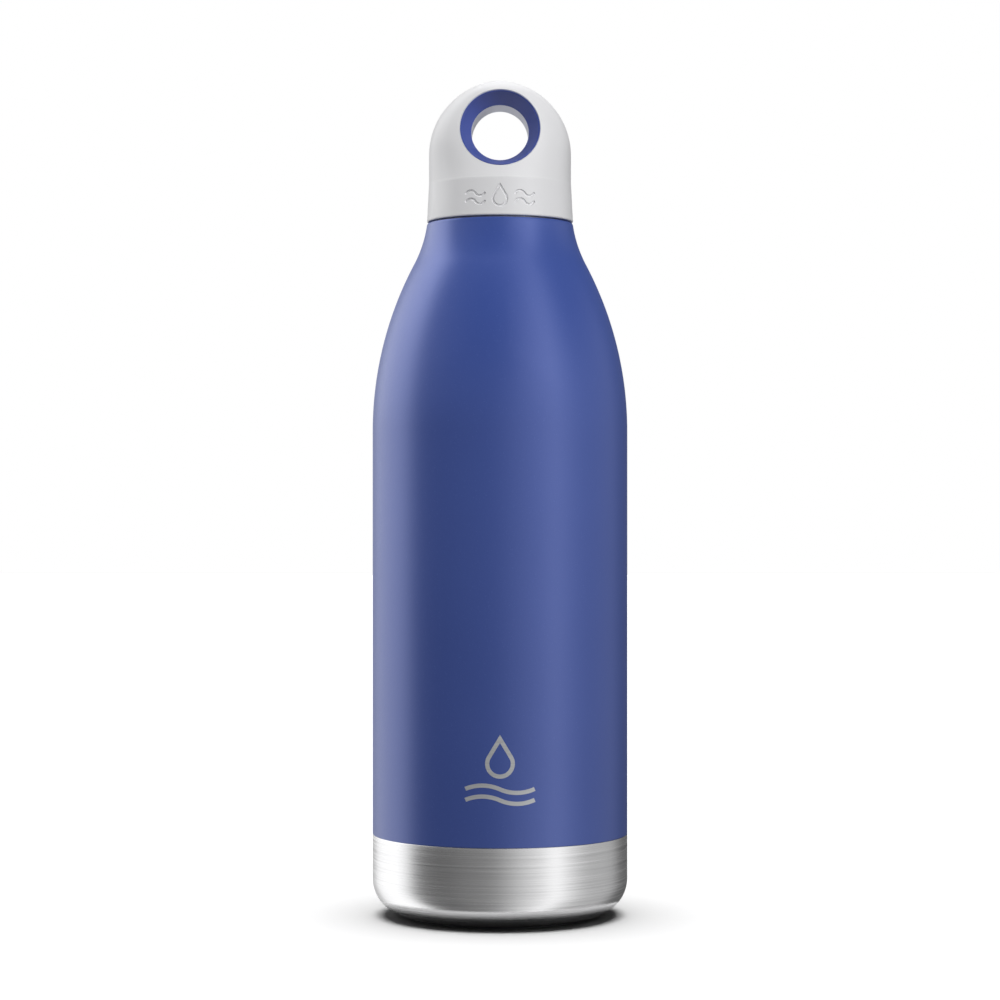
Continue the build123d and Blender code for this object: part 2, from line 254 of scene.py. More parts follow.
def base_cup():
    """Bare steel bottom: wall, rounded corner, foot, and the recessed floor with its tip hole."""
    foot_r = BODY_R - CORNER_R
    mid_z = BASE_Z + CORNER_R
    inner = CORNER_R - BASE_T
    profile = arc(BODY_R - EDGE_R, SEAM_Z - EDGE_R, EDGE_R, 90, 0, 4)
    profile += line((BODY_R, SEAM_Z - 0.5), (BODY_R, mid_z), 12)
    profile += arc(foot_r, mid_z, CORNER_R, -1, -90, 40)
    profile += arc(RECESS_R + BEND_R, BASE_Z + BEND_R, BEND_R, -90, -180, 6)
    profile += arc(RECESS_R - BEND_R, RECESS_Z - BEND_R, BEND_R, 0, 90, 6)
    profile += line((RECESS_R - BEND_R - 0.4, RECESS_Z), (TIP_HOLE_R, RECESS_Z), 6)
    profile += [(TIP_HOLE_R, RECESS_Z + BASE_T), (RECESS_R + BASE_T, RECESS_Z + BASE_T),
                (RECESS_R + BASE_T, BASE_Z + BASE_T), (foot_r, BASE_Z + BASE_T)]
    profile += arc(foot_r, mid_z, inner, -90, 0, 20)
    profile += [(BODY_R - BASE_T, SEAM_Z)]
    return lathe("base_brushed", profile)


# ---------------------------------------------------------------- decoration

def drop_shape(height, centre_z):
    """Numbers of the plain drop: (round radius, its centre height, tip height, touch angle)."""
    round_r = height * DROP_ROUNDNESS
    low_z = centre_z - height / 2 + round_r
    tip_z = centre_z + height / 2
    return round_r, low_z, tip_z, math.asin(round_r / (tip_z - low_z))


def drop_distance(x, z, height, centre_z):
    """Signed distance to the drop's outline, negative inside."""
    round_r, low_z, tip_z, touch = drop_shape(height, centre_z)
    nx, nz = math.cos(touch), math.sin(touch)
    side = abs(x) * nx + (z - low_z) * nz - round_r
    from_round = math.hypot(x, z - low_z) - round_r
    along = -abs(x) * nz + (z - low_z) * nx
    if along < 0:
        return from_round
    if z > tip_z:
        return math.hypot(x, z - tip_z)
    return side


def arc_circle(start, mid, end):
    """Centre x and z, radius, direction (1 up, -1 down) and half angle of a shallow arc through
    three points, the first and last of them level."""
    half = (end[0] - start[0]) / 2
    rise = mid[1] - start[1]
    radius = (half ** 2 + rise ** 2) / (2 * abs(rise))
    toward = math.copysign(1, rise)
    return start[0] + half, mid[1] - toward * radius, radius, toward, math.asin(half / radius)


def arc_distance(x, z, start, mid, end):
    """Distance to the shallow arc through three points, the first and last of them level."""
    cx, cz, radius, toward, limit = arc_circle(start, mid, end)
    angle = math.atan2(abs(x - cx), (z - cz) * toward)
    if angle <= limit:
        return abs(math.hypot(x - cx, z - cz) - radius)
    return min(math.hypot(x - start[0], z - start[1]), math.hypot(x - end[0], z - end[1]))


def wave_arcs(width, height, cx, cz):
    """A wave line as an arc up and an arc down, each by its first, middle and last point."""
    left = cx - width / 2
    rise = height / 2
    return [((left, cz), (left + width / 4, cz + rise), (cx, cz)),
            ((cx, cz), (left + width * 0.75, cz - rise), (left + width, cz))]


def band_waves():
    """Arcs of the four small wave lines on the cap's band, two on each side of the drop."""
    width, height, gap = BAND_WAVE
    offset = width / 2 + BAND_DROP_H / 2 + BAND_WAVE_SPACE
    arcs = []
    for side in (-1, 1):
        for row in (-0.5, 0.5):
            z = BAND_MARK_Z + row * gap - BAND_WAVE_SINK
            arcs += wave_arcs(width, height, side * offset, z)
    return arcs


BAND_WAVES = band_waves()


def band_depth(x, z):
    """How far the cap's band is pressed in at a point of its front."""
    inside = -drop_distance(x, z, BAND_DROP_H, BAND_MARK_Z)
    stroke = abs(inside - BAND_LINE / 2)
    for start, mid, end in BAND_WAVES:
        stroke = min(stroke, arc_distance(x, z, start, mid, end))
    t = (BAND_LINE / 2 + BAND_WALL / 2 - stroke) / BAND_WALL
    t = min(1.0, max(0.0, t))
    return BAND_DEPTH * t * t * (3 - 2 * t)


def on_barrel(x, z, radius):
    """Point on the front of a barrel of this radius."""
    return (x, -math.sqrt(radius ** 2 - x ** 2), z)


def ribbon(name, left, right, closed):
    """Thin curved strip on the front of the barrel, between two lines of (x, z) points."""
    top_r, low_r = BODY_R, BODY_R - ETCH_DEPTH
    verts = []
    for a, b in zip(left, right):
        verts += [on_barrel(*a, top_r), on_barrel(*b, top_r), on_barrel(*b, low_r),
                  on_barrel(*a, low_r)]
    count = len(left)
    faces = []
    for i in range(count if closed else count - 1):
        j = (i + 1) % count
        for k in range(4):
            m = (k + 1) % 4
            faces.append((4 * i + k, 4 * i + m, 4 * j + m, 4 * j + k))
    if not closed:
        last = 4 * (count - 1)
        faces += [(0, 1, 2, 3), (last + 3, last + 2, last + 1, last)]
    return make_mesh(name, verts, faces)


def drop_outline(round_r, low_z, tip_z, touch):
    """Closed outline of a drop: round the bottom from right to left, up to the tip and back down."""
    steps, side_steps = 64, 14
    sweep = math.pi + 2 * touch
    angles = [touch - sweep * i / steps for i in range(steps + 1)]
    points = [(round_r * math.cos(a), low_z + round_r * math.sin(a)) for a in angles]
    first, last = points[0], points[-1]
    shares = [i / side_steps for i in range(1, side_steps + 1)]
    points += [(last[0] * (1 - t), last[1] * (1 - t) + tip_z * t) for t in shares]
    points += [(first[0] * t, first[1] * t + tip_z * (1 - t)) for t in shares[:-1]]
    return points


def etched_drop():
    """Outline of the drop, left as bare steel."""
    round_r, low_z, tip_z, touch = drop_shape(ETCH_DROP_H, ETCH_DROP_Z)
    inner_r = round_r - ETCH_LINE
    inner_tip = low_z + (tip_z - low_z) * inner_r / round_r
    outer = drop_outline(round_r, low_z, tip_z, touch)
    inner = drop_outline(inner_r, low_z, inner_tip, touch)
    return ribbon("etched_drop", outer, inner, True)


def etched_wave(name, cz):
    """One wave line: two arcs run as one stroke. The second skips the point that they share."""
    width, height, _ = ETCH_WAVE
    left, right = [], []
    steps = 24
    for skipped, ends in enumerate(wave_arcs(width, height, 0.0, cz)):
        cx, centre_z, radius, toward, limit = arc_circle(*ends)
        for i in range(skipped, steps + 1):
            a = -limit + 2 * limit * i / steps
            for points, side in ((left, 1), (right, -1)):
                r = radius + side * toward * ETCH_LINE / 2
                points.append((cx + r * math.sin(a), centre_z + toward * r * math.cos(a)))
    return ribbon(name, left, right, False)


# ---------------------------------------------------------------- cap

def half_width(z):
    """Half the loop's width: straight sides, then a half circle."""
    rise = min(max(0.0, z - ARCH_Z), LOOP_R)
    return math.sqrt(max(0.0, LOOP_R ** 2 - rise ** 2))


def half_depth(z):
    """Leaning faces that round over into the crown."""
    lean = math.sqrt(1 + FACE_SLOPE ** 2)
    round_z = CAP_TOP - CROWN_R
    round_y = LOOP_R - (round_z - CREASE_Z) * FACE_SLOPE - CROWN_R * lean
    tangent_z = round_z + CROWN_R * FACE_SLOPE / lean
    if z <= tangent_z:
        return LOOP_R - max(0.0, z - CREASE_Z) * FACE_SLOPE
    return round_y + math.sqrt(max(0.0, CROWN_R ** 2 - (min(z, CAP_TOP) - round_z) ** 2))


def section_power(z):
    """Exponent of the rounded cross-section: 2 is a circle, more is squarer."""
    climb = min(1.0, max(0.0, z - CREASE_Z) / (CAP_TOP - CREASE_Z))
    return 2 + SQUARE_GAIN * climb ** SQUARE_POWER


def section_point(z, angle):
    """Point of the loop's rounded cross-section at height z."""
    power = section_power(z)
    c, s = math.cos(angle), math.sin(angle)
    k = (abs(c) ** power + abs(s) ** power) ** (-1 / power)
    return (half_width(z) * c * k, half_depth(z) * s * k, z)


def face_y(x, z):
    """Depth of the loop's face from the mid-plane at (x, z)."""
    width = half_width(z)
    power = section_power(z)
    share = min(1.0, abs(x) / max(width, 1e-6))
    return half_depth(z) * (1 - share ** power) ** (1 / power)


def lip_y(z):
    """Distance of a bezel's inner lip from the mid-plane at height z."""
    middle = half_depth(HOLE_Z) - BEZEL_DEPTH
    return middle - FACE_SLOPE * (z - HOLE_Z)


def cap_angles():
    """Section angles, fine across the pressed decoration on the front."""
    fine_half = math.radians(30)
    fine_steps, coarse_steps = 200, 150
    fine = [-math.pi / 2 - fine_half + 2 * fine_half * i / fine_steps for i in range(fine_steps + 1)]
    rest = 2 * math.pi - 2 * fine_half
    return fine + [fine[-1] + rest * i / coarse_steps for i in range(1, coarse_steps)]


def cap_rows():
    """(radius, z) rows from the cavity's roof round the skirt's edge and up to the crown.

    The radius is None where the loop's rounded section takes over. Rows are close together across
    the decoration.
    """
    rows = [(SKIRT_R * i / 4, ROOF_Z) for i in range(1, 4)]
    rows += arc(SKIRT_R - ROOF_ROUND, ROOF_Z - ROOF_ROUND, ROOF_ROUND, 90, 0, 4)
    rows += line((SKIRT_R, ROOF_Z - 1), (SKIRT_R, CAP_LOW + SKIRT_INNER_ROUND), 8)
    rows += arc(SKIRT_R + SKIRT_INNER_ROUND, CAP_LOW + SKIRT_INNER_ROUND, SKIRT_INNER_ROUND,
                180, 270, 4)
    rows += arc(CAP_LOW_R - SKIRT_ROUND, CAP_LOW + SKIRT_ROUND, SKIRT_ROUND, -90, 0, 8)
    slope = (BAND_TOP_R - CAP_LOW_R) / (CREASE_Z - CAP_LOW)
    mark_low, mark_high = BAND_MARK_Z - BAND_MARK_HALF_H, BAND_MARK_Z + BAND_MARK_HALF_H
    mark_steps, wall_steps, arch_steps = 72, 18, 64
    heights = [CAP_LOW + 0.9 + 0.4 * i for i in range(3)]
    heights += [mark_low + (mark_high - mark_low) * i / mark_steps for i in range(mark_steps + 1)]
    heights += [mark_high + 0.35, CREASE_Z - 0.5, CREASE_Z - CREASE_EASE]
    rows += [(CAP_LOW_R + slope * (z - CAP_LOW), z) for z in heights]
    rows += [(CREASE_R, CREASE_Z - CREASE_HALF_H), (CREASE_R, CREASE_Z + CREASE_HALF_H)]
    rows += [(None, CREASE_Z + CREASE_EASE)]
    rows += [(None, CREASE_Z + (ARCH_Z - CREASE_Z) * i / wall_steps) for i in range(1, wall_steps)]
    rows += [(None, ARCH_Z + LOOP_R * math.sin(math.pi / 2 * i / arch_steps))
             for i in range(arch_steps + 1)]
    return rows


def cap_skin():
    """Closed skin of the cap before its hole is cut, with the decoration pressed in."""
    angles = cap_angles()
    count = len(angles)
    verts = [(0.0, 0.0, ROOF_Z)]
    rows = cap_rows()
    for radius, z in rows:
        for a in angles:
            if radius is None:
                verts.append(section_point(z, a))
                continue
            x = radius * math.cos(a)
            on_front = math.sin(a) < 0 and abs(x) < BAND_MARK_HALF_W
            on_band = radius > SKIRT_R + 0.5 and z < CREASE_Z
            r = radius - band_depth(x, z) if on_front and on_band else radius
            verts.append((r * math.cos(a), r * math.sin(a), z))
    faces = [(0, 1 + (k + 1) % count, 1 + k) for k in range(count)]
    for i in range(len(rows) - 1):
        low, high = 1 + i * count, 1 + (i + 1) * count
        for k in range(count):
            n = (k + 1) % count
            faces.append((low + k, low + n, high + n, high + k))
    return make_mesh("cap_moulding", verts, faces)


def funnel_point(side, angle, face_r, lip_r, share):
    """Point on a funnel line: share 0 on the loop's face, 1 on the inner lip, below 0 outside."""
    c, s = math.cos(angle), math.sin(angle)
    face_z = BEZEL_Z + face_r * s * BEZEL_SQUASH
    start = Vector((face_r * c, side * face_y(face_r * c, face_z), face_z))
    lip_z = HOLE_Z + lip_r * s
    end = Vector((lip_r * c, side * lip_y(lip_z), lip_z))
    return start.lerp(end, share)


def ring_mesh(name, rings, closed):
    """Rings of equal length joined in order; closed joins the last to the first."""
    count = len(rings[0])
    verts = [tuple(p) for ring in rings for p in ring]
    faces = []
    pairs = [(i, i + 1) for i in range(len(rings) - 1)]
    if closed:
        pairs.append((len(rings) - 1, 0))
    for i, j in pairs:
        for k in range(count):
            n = (k + 1) % count
            faces.append((i * count + k, i * count + n, j * count + n, j * count + k))
    if not closed:
        faces.append(tuple(range(count)))
        faces.append(tuple((len(rings) - 1) * count + k for k in reversed(range(count))))
    return make_mesh(name, verts, faces)


def funnel_ring(side, face_r, lip_r, share):
    """Points all round a funnel at one share of its depth."""
    return [funnel_point(side, 2 * math.pi * k / RING_STEPS, face_r, lip_r, share)
            for k in range(RING_STEPS)]


def hole_cutter():
    """Both bezel seats and the bore between them, as one closed tool."""
    seat_lip = HOLE_R + BEZEL_WALL
    rings = []
    for side in (-1, 1):
        half = [funnel_ring(side, BEZEL_R + SEAT_GAP, seat_lip, share) for share in (-1.2, -0.06)]
        half += [funnel_ring(side, BEZEL_R, seat_lip, share) for share in (0.035, 0.5, 1.0)]
        half.append(funnel_ring(side, BEZEL_R, HOLE_R, 1.0))
        rings += half if side < 0 else half[::-1]
    return ring_mesh("hole_cutter", rings, False)


def cap_shell():
    """The cap's skin with the hole and both bezel seats cut through it."""
    skin = cap_skin()
    tool = hole_cutter()
    cut = skin.modifiers.new("hole", "BOOLEAN")
    cut.operation = "DIFFERENCE"
    cut.solver = "EXACT"
    cut.object = tool
    bpy.context.view_layer.update()
    evaluated = skin.evaluated_get(bpy.context.evaluated_depsgraph_get())
    mesh = bpy.data.meshes.new_from_object(evaluated)
    skin.modifiers.clear()
    skin.data = mesh
    bpy.data.objects.remove(tool)
    bm = bmesh.new()
    bm.from_mesh(mesh)
    many_sided = [face for face in bm.faces if len(face.verts) > 4]
    bmesh.ops.triangulate(bm, faces=many_sided, ngon_method="BEAUTY")
    bmesh.ops.dissolve_degenerate(bm, edges=bm.edges, dist=SLIVER_DIST)
    bm.to_mesh(mesh)
    bm.free()
    mesh.shade_smooth()
    mesh.set_sharp_from_angle(angle=math.radians(CAP_SHARP_DEG))
    return skin


def bezel(name, side):
    """Blue funnel ring, its outer rim rounded and a touch below the cap's face."""
    face_r = BEZEL_R - BEZEL_PLAY
    outer_lip = HOLE_R + BEZEL_WALL - BEZEL_PLAY
    inner_r = BEZEL_R - BEZEL_RIM
    rim_steps = 4
    rings = [funnel_ring(side, face_r, outer_lip, share) for share in (1.0, 0.6, 0.2, 0.05)]
    for i in range(rim_steps + 1):
        t = i / rim_steps
        sink = RIM_SINK + RIM_ROUND * (1 - math.sin(math.pi * t))
        rings.append(funnel_ring(side, face_r + (inner_r - face_r) * t, HOLE_R, sink))
    rings += [funnel_ring(side, inner_r, HOLE_R + BEZEL_PLAY, share)
              for share in (0.09, 0.2, 0.4, 0.6, 0.8, 0.93)]
    rings.append(funnel_ring(side, inner_r, HOLE_R, 1.0))
    return ring_mesh(name, rings, True)


# ---------------------------------------------------------------- materials

class Nodes:
    """Small helper that adds and links shader nodes of one material."""

    def __init__(self, name):
        self.material = bpy.data.materials.new(name)
        self.material.use_nodes = True
        self.tree = self.material.node_tree
        self.shader = self.tree.nodes["Principled BSDF"]

    def add(self, kind, **settings):
        """New node, with settings for its sockets or its own properties."""
        node = self.tree.nodes.new(kind)
        for key, value in settings.items():
            if key in node.inputs:
                node.inputs[key].default_value = value
            else:
                setattr(node, key, value)
        return node

    def link(self, source, target):
        self.tree.links.new(source, target)

    def set(self, **values):
        for key, value in values.items():
            self.shader.inputs[key.replace("_", " ")].default_value = value

    def position(self, scale=(1, 1, 1)):
        """Object coordinates, stretched."""
        coords = self.add("ShaderNodeTexCoord")
        mapping = self.add("ShaderNodeMapping")
        mapping.inputs["Scale"].default_value = scale
        self.link(coords.outputs["Object"], mapping.inputs["Vector"])
        return mapping.outputs["Vector"]

    def noise(self, vector, scale, detail=3.0, rough=0.5):
        """Noise. On unstretched coordinates its scale is in cycles a metre."""
        node = self.add("ShaderNodeTexNoise")
        node.inputs["Scale"].default_value = scale
        node.inputs["Detail"].default_value = detail
        node.inputs["Roughness"].default_value = rough
        self.link(vector, node.inputs["Vector"])
        return node.outputs["Fac"]

    def remap(self, value, low, high, to_low, to_high):
        node = self.add("ShaderNodeMapRange")
        node.inputs["From Min"].default_value = low
        node.inputs["From Max"].default_value = high
        node.inputs["To Min"].default_value = to_low
        node.inputs["To Max"].default_value = to_high
        self.link(value, node.inputs["Value"])
        return node.outputs["Result"]

    def mix(self, fac, first, second):
        node = self.add("ShaderNodeMix", data_type="RGBA")
        self.link(fac, node.inputs[0])
        for socket, value in ((node.inputs[6], first), (node.inputs[7], second)):
            if isinstance(value, tuple):
                socket.default_value = value
            else:
                self.link(value, socket)
        return node.outputs[2]

    def blend(self, first, second, share):
        """Weighted mean of two values; share is the second one's."""
        node = self.add("ShaderNodeMix", data_type="FLOAT")
        node.inputs[0].default_value = share
        self.link(first, node.inputs[2])
        self.link(second, node.inputs[3])
        return node.outputs[0]

    def bump(self, height, distance, strength=1.0, under=None):
        node = self.add("ShaderNodeBump")
        node.inputs["Strength"].default_value = strength
        node.inputs["Distance"].default_value = distance
        self.link(height, node.inputs["Height"])
        if under is not None:
            self.link(under, node.inputs["Normal"])
        return node.outputs["Normal"]

    def colour(self, socket):
        self.link(socket, self.shader.inputs["Base Color"])

    def roughness(self, socket):
        self.link(socket, self.shader.inputs["Roughness"])

    def normal(self, socket):
        self.link(socket, self.shader.inputs["Normal"])


def linear(red, green, blue):
    """Screen colour, 0 to 255, as a linear shader colour."""
    def channel(value):
        value /= 255
        return value / 12.92 if value <= 0.04045 else ((value + 0.055) / 1.055) ** 2.4
    return (channel(red), channel(green), channel(blue), 1.0)


def powder_coat():
    """Fine satin powder coat: orange-peel grain, faint tone drift, a few rubbed specks."""
    n = Nodes("powder_coat_blue")
    place = n.position()
    drift = n.noise(place, 18.0, 2.0)
    grain = n.noise(place, 2600.0, 2.0)
    peel = n.noise(place, 700.0, 1.0)
    base = n.mix(n.remap(drift, 0.3, 0.7, 0.0, 1.0), linear(65, 89, 167), linear(69, 93, 172))
    n.colour(n.mix(n.remap(grain, 0.62, 0.75, 0.0, 0.35), base, linear(94, 116, 191)))
    n.roughness(n.remap(grain, 0.3, 0.7, 0.30, 0.40))
    n.normal(n.bump(peel, 0.00004, 0.35, under=n.bump(grain, 0.00002, 0.3)))
    n.set(Specular_IOR_Level=1.0, Metallic=0.18)
    return n.material


def brushed_steel(name, tone, rough, aniso=0.75, brush=1.0, metal=1.0):
    """Steel brushed round the axis: hair-fine lines of all lengths, some bright and some dark."""
    n = Nodes(name)
    hair = n.noise(n.position((14, 14, 6500)), 1.0, 5.0, 0.7)
    stroke = n.noise(n.position((18, 18, 1700)), 1.0, 2.0, 0.5)
    broad = n.noise(n.position((7, 7, 620)), 1.0, 2.0)
    lines = n.blend(hair, stroke, 0.4)
    dark = linear(*[c * (1 - 0.13 * brush) for c in tone])
    tint = n.mix(n.remap(lines, 0.36, 0.64, 0.0, 1.0), dark, linear(*tone))
    n.colour(n.mix(n.remap(broad, 0.3, 0.7, 0.0, 0.5), tint, linear(*[c * 0.95 for c in tone])))
    n.roughness(n.remap(lines, 0.3, 0.7, rough - 0.05, rough + 0.09))
    n.normal(n.bump(lines, 0.000012 * brush, 0.6))
    tangent = n.add("ShaderNodeTangent", direction_type="RADIAL", axis="Z")
    n.link(tangent.outputs["Tangent"], n.shader.inputs["Tangent"])
    n.set(Metallic=metal, Anisotropic=aniso)
    return n.material


def moulded_plastic(name, colour, rough, speck, spec=0.5):
    """Satin moulded plastic: spark-eroded grain, slow tone drift and slightly polished patches."""
    n = Nodes(name)
    place = n.position()
    drift = n.noise(place, 25.0, 2.0)
    grain = n.noise(place, 3200.0, 2.0)
    dark = linear(*[c * 0.975 for c in colour])
    base = n.mix(n.remap(drift, 0.3, 0.7, 0.0, 1.0), dark, linear(*colour))
    n.colour(n.mix(n.remap(grain, 0.66, 0.8, 0.0, speck), base, linear(*[c * 0.9 for c in colour])))
    n.roughness(n.remap(n.noise(place, 90.0, 3.0), 0.3, 0.7, rough - 0.04, rough + 0.05))
    n.normal(n.bump(grain, 0.00001, 0.3))
    n.set(Specular_IOR_Level=spec)
    return n.material


def rubber(name, colour):
    """Matt, faintly dusty soft stuff: rubber, silicone, foam or pressed powder."""
    n = Nodes(name)
    place = n.position()
    dust = n.noise(place, 400.0, 4.0, 0.6)
    pale = linear(*[min(255, c * 1.12) for c in colour])
    n.colour(n.mix(n.remap(dust, 0.4, 0.75, 0.0, 0.4), linear(*colour), pale))
    n.roughness(n.remap(dust, 0.3, 0.7, 0.55, 0.75))
    n.normal(n.bump(dust, 0.00002, 0.4))
    return n.material


def dress(obj, material):
    """Give a piece this one material."""
    obj.data.materials.clear()
    obj.data.materials.append(material)


BLUE = powder_coat()
STEEL = brushed_steel("steel_brushed", (241, 241, 242), 0.22)
STEEL_PLAIN = brushed_steel("steel_turned", (205, 205, 206), 0.35, 0.5)
ETCHED = brushed_steel("steel_etched", (222, 224, 226), 0.45, 0.2, metal=0.55)
WHITE = moulded_plastic("cap_plastic", (237, 237, 239), 0.36, 0.25, 0.9)
WHITE_INNER = moulded_plastic("stopper_plastic", (222, 223, 226), 0.42, 0.25)
BLUE_PLASTIC = moulded_plastic("bezel_plastic", (72, 89, 165), 0.40, 0.3)
SILICONE = rubber("silicone_clear_grey", (184, 187, 192))
# The foot ring's near-black colour is painted shade: it stands in for the dark shadow line under the
# bottle's foot.
FOOT_PAINTED_SHADE = rubber("foot_ring_painted_shade", (44, 45, 49))
COPPER = brushed_steel("copper_foil", (214, 142, 108), 0.30, 0.3)
FOAM = rubber("white_foam", (232, 231, 224))
TAPE = rubber("foam_tape", (206, 205, 198))
PELLET = rubber("getter_powder", (74, 74, 77))
FRIT = moulded_plastic("glass_frit", (86, 104, 96), 0.18, 0.4, 0.7)


# ---------------------------------------------------------------- pieces

def place(obj, body, slot, material, *nodes):
    """Finish a piece: its look, the body it rides on and the CAD nodes it replaces. The slot argument
    is not used.
    """
    dress(obj, material)
    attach(obj, body)
    if nodes:
        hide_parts(*nodes)
    return obj


place(outer_shell(), "bottle", "powder_coat", BLUE, "outer_shell")
place(base_cup(), "bottle", "steel", STEEL, "base_cup")
place(etched_drop(), "bottle", "steel", ETCHED)
for number, row in enumerate((-0.5, 0.5)):
    place(etched_wave(f"etched_wave_{number}", ETCH_WAVE_Z + row * ETCH_WAVE[2]),
          "bottle", "steel", ETCHED)
place(cap_shell(), "cap", "cap_plastic", WHITE, "cap_shell")
place(bezel("bezel_front", -1), "cap", "bezel_plastic", BLUE_PLASTIC, "front_bezel")
place(bezel("bezel_rear", 1), "cap", "bezel_plastic", BLUE_PLASTIC, "rear_bezel")

# CAD nodes that keep their shape and only get their look here
KEPT = {
    "tip_seal": FRIT,
    "cover_adhesive": TAPE,
    "base_cover": STEEL_PLAIN,
    "foot_ring": FOOT_PAINTED_SHADE,
    "getter_clip": STEEL_PLAIN,
    "getter": PELLET,
    "liner": STEEL_PLAIN,
    "liner_bottom": STEEL_PLAIN,
    "foil_wrap": COPPER,
    "foil_disc": COPPER,
    "mouth_ring": STEEL_PLAIN,
    "gasket": SILICONE,
    "stopper": WHITE_INNER,
    "stopper_foam": FOAM,
    "stopper_disc": WHITE_INNER,
}
for node, material in KEPT.items():
    dress(frame["nodes"][node], material)


# ---------------------------------------------------------------- studio

FLOOR_TONE = (0.22, 0.22, 0.22, 1.0)    # lit to white by its own strong light
FLOOR_REACH = 4.0                       # metres
PATCH_MARGIN = 1.5                      # millimetres
PATCH_LIFT = 0.02                       # millimetres
CAMERA_PLACE = (0.0, -0.7605, 0.1160)   # metres
CAMERA_LENS = 95.4
CAMERA_SHIFT = 0.0101
WHITE_LIGHT = (1.0, 1.0, 1.0, 1.0)


def plain(name, colour, rough):
    """Faintly mottled paper or paint."""
    n = Nodes(name)
    mottle = n.noise(n.position(), 6.0, 2.0)
    n.colour(n.mix(mottle, colour, tuple(c * 0.99 for c in colour[:3]) + (1.0,)))
    n.roughness(n.remap(mottle, 0.3, 0.7, rough - 0.03, rough + 0.03))
    return n.material


def floor():
    """Plain ground. Only the patch under the bottle shows in its polished corner."""
    corners = [(x * FLOOR_REACH, y * FLOOR_REACH, 0) for x, y in ((-1, -1), (1, -1), (1, 1), (-1, 1))]
    mesh = bpy.data.meshes.new("floor")
    mesh.from_pydata(corners, [], [(0, 1, 2, 3)])
    patch_mesh = bpy.data.meshes.new("floor_patch")
    patch = bmesh.new()
    bmesh.ops.create_circle(patch, cap_ends=True, segments=96, radius=(BODY_R + PATCH_MARGIN) * MM)
    bmesh.ops.translate(patch, verts=patch.verts, vec=(0, 0, PATCH_LIFT * MM))
    patch.to_mesh(patch_mesh)
    patch.free()
    grey = plain("floor_pale", FLOOR_TONE, 0.8)
    grey.node_tree.nodes["Principled BSDF"].inputs["Specular IOR Level"].default_value = 0.0
    pieces = []
    for data in (mesh, patch_mesh):
        obj = bpy.data.objects.new(data.name, data)
        bpy.context.scene.collection.objects.link(obj)
        dress(obj, grey)
        obj.visible_glossy = data is patch_mesh
        obj.visible_diffuse = False
        pieces.append(obj)
    return pieces


def camera():
    """Long lens held level, straight in front of the bottle."""
    data = bpy.data.cameras.new("camera")
    data.sensor_width = 36.0
    data.lens = CAMERA_LENS
    data.shift_y = CAMERA_SHIFT
    data.clip_start = 0.01
    obj = bpy.data.objects.new("camera", data)
    obj.location = CAMERA_PLACE
    obj.rotation_euler = (math.pi / 2, 0, 0)
    bpy.context.scene.collection.objects.link(obj)
    bpy.context.scene.camera = obj


# Brightness of the studio walls by compass angle: 0 is behind the camera, 90 at its right
WALLS = (
    (-180, 0.45), (-156, 0.48), (-138, 1.30), (-104, 1.50), (-91, 1.30), (-84, 0.34), (-73, 0.15),
    (-50, 0.15), (-30, 0.22), (-6, 0.26), (6, 0.45), (20, 0.70), (36, 0.90), (51, 1.50), (66, 0.85),
    (82, 0.52), (116, 0.52), (138, 0.12), (165, 0.12), (180, 0.60),
)
LEFT_PANEL_GAIN = 0.5                   # the left panel is brighter above the bottle's foot
HIGH_CONTRAST, HIGH_LEVEL = 2.2, 0.45   # higher up, bright panels stay and the gaps go dark
WALL_SHADE, RIGHT_SHADE = 0.7, 0.95     # share of the walls' light that matt surfaces lose
OVERHEAD = 0.8                          # brightness of the ceiling panel
CEILING_DEG = (62, 78)                  # rise at which the ceiling panel starts and is whole
# Where those changes start and end, in the eastward or upward part of a direction of length 1
LEFT_PANEL_EAST = (-0.7, -0.3)
LEFT_PANEL_UP = (-0.06, 0.12)
HIGH_UP = (0.2, 0.6)
RIGHT_EAST = (0.3, 0.9)
# Soft boxes, which light surfaces but don't reflect in them: name, compass angle, rise, power
SOFT_BOXES = (("key", 39, 32, 2.15), ("left_fill", -68, 32, 0.95), ("rear_fill", 172, 58, 2.2))
SOFT_BOX_SIZE = 0.35                    # metres
SOFT_BOX_REACH = 0.55                   # metres
GROUND_POWER = 17.0
GROUND_SPREAD_DEG = 50                  # the wider, the softer the bottle's shadow


def light_link(obj, ground, state):
    """Let a lamp light everything but the ground, or the ground alone."""
    linked = bpy.data.collections.new(obj.name + "_ground")
    for piece in ground:
        linked.objects.link(piece)
    for member in linked.collection_objects:
        member.light_linking.link_state = state
    obj.light_linking.receiver_collection = linked


def soft_box(name, turn_deg, rise_deg, power, ground):
    """Square lamp aimed at the bottle's middle."""
    turn, rise = math.radians(turn_deg), math.radians(rise_deg)
    data = bpy.data.lights.new(name, "AREA")
    data.shape = "SQUARE"
    data.size = SOFT_BOX_SIZE
    data.energy = power
    obj = bpy.data.objects.new(name, data)
    away = Vector((math.sin(turn) * math.cos(rise), -math.cos(turn) * math.cos(rise),
                   math.sin(rise)))
    obj.location = away * SOFT_BOX_REACH + Vector((0, 0, (cad_low[2] + cad_high[2]) / 2))
    obj.rotation_euler = away.to_track_quat("Z", "Y").to_euler()
    obj.visible_glossy = False
    light_link(obj, ground, "EXCLUDE")
    bpy.context.scene.collection.objects.link(obj)


def ground_light(ground):
    """Broad light from straight above that keeps the ground white up to a narrow shadow."""
    data = bpy.data.lights.new("ground_light", "SUN")
    data.angle = math.radians(GROUND_SPREAD_DEG)
    data.energy = GROUND_POWER
    obj = bpy.data.objects.new("ground_light", data)
    obj.visible_glossy = False
    light_link(obj, ground, "INCLUDE")
    bpy.context.scene.collection.objects.link(obj)


